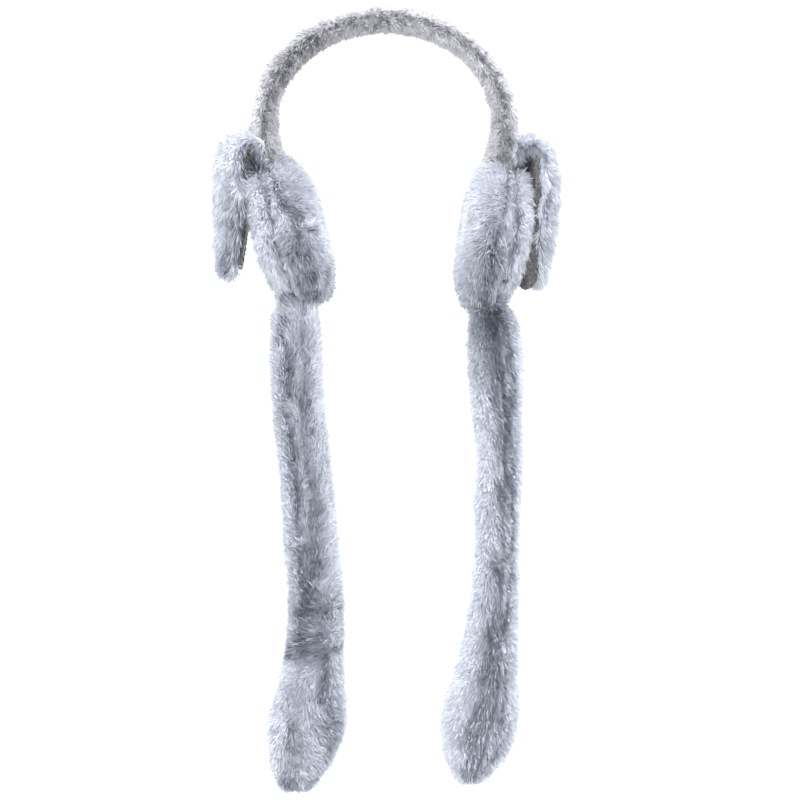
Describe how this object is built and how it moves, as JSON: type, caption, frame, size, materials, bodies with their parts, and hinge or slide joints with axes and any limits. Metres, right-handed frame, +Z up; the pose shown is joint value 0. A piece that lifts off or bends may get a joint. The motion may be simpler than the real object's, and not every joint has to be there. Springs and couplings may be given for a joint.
{
  "type": "fur earmuffs",
  "caption": "Plush faux-fur earmuffs: a furred headband joins padded ear cups with folded lop ears, and a long stuffed strap ending in a paw hangs from each cup.",
  "frame": {"origin": "middle of the headband's underside, where it sits on the crown of the head", "axes": "+Z up along the hanging straps, the front towards -Y, +X to the wearer's left ear as seen from the front"},
  "size_m": [0.2594, 0.1027, 0.5846],
  "materials": {
    "band_pile": "short sheared faux-fur pile, neutral grey",
    "plush_pile": "long faux-fur pile, blue grey",
    "knit_lining": "short-pile ribbed knit, warm grey"
  },
  "bodies": {
    "root": {"headband": "band_pile", "ear_cushion_left": "plush_pile", "ear_cushion_right": "plush_pile", "cup_back_left": "plush_pile", "cup_back_right": "plush_pile", "ear_flap_left": "plush_pile", "ear_flap_right": "plush_pile", "ear_lining_left": "knit_lining", "ear_lining_right": "knit_lining", "strap_left": "plush_pile", "strap_right": "plush_pile"}
  },
  "joints": []
}
